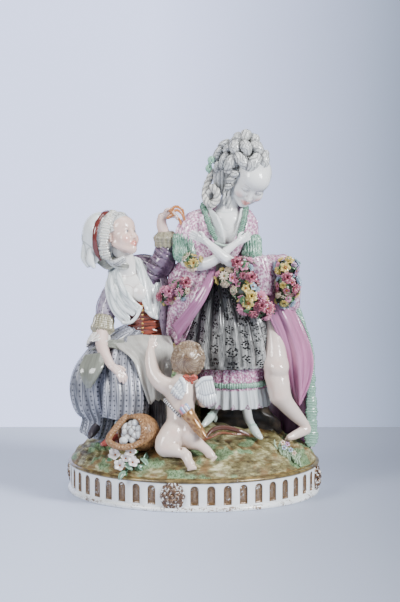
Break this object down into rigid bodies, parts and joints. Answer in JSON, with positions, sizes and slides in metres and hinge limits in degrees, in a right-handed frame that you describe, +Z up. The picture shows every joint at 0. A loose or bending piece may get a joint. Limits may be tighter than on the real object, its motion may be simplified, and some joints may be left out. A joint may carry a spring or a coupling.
{
  "type": "porcelain figure group",
  "caption": "Glazed and painted porcelain group of two ladies in court dress with cupids, on a rocky mound and an oval arcaded plinth with rosettes; stands on its flat underside",
  "frame": {"origin": "centre of the plinth's flat underside, on the surface it stands on", "axes": "+Z up, +X along the plinth's long axis to the viewer's right, and the front with the kneeling cupid and the basket faces -Y"},
  "size_m": [0.23, 0.214, 0.325],
  "materials": {
    "glazed_porcelain": "glossy clear glaze over white porcelain, painted in overglaze enamels with worn gilding"
  },
  "bodies": {
    "root": {"figure_group": "glazed_porcelain"}
  },
  "joints": []
}
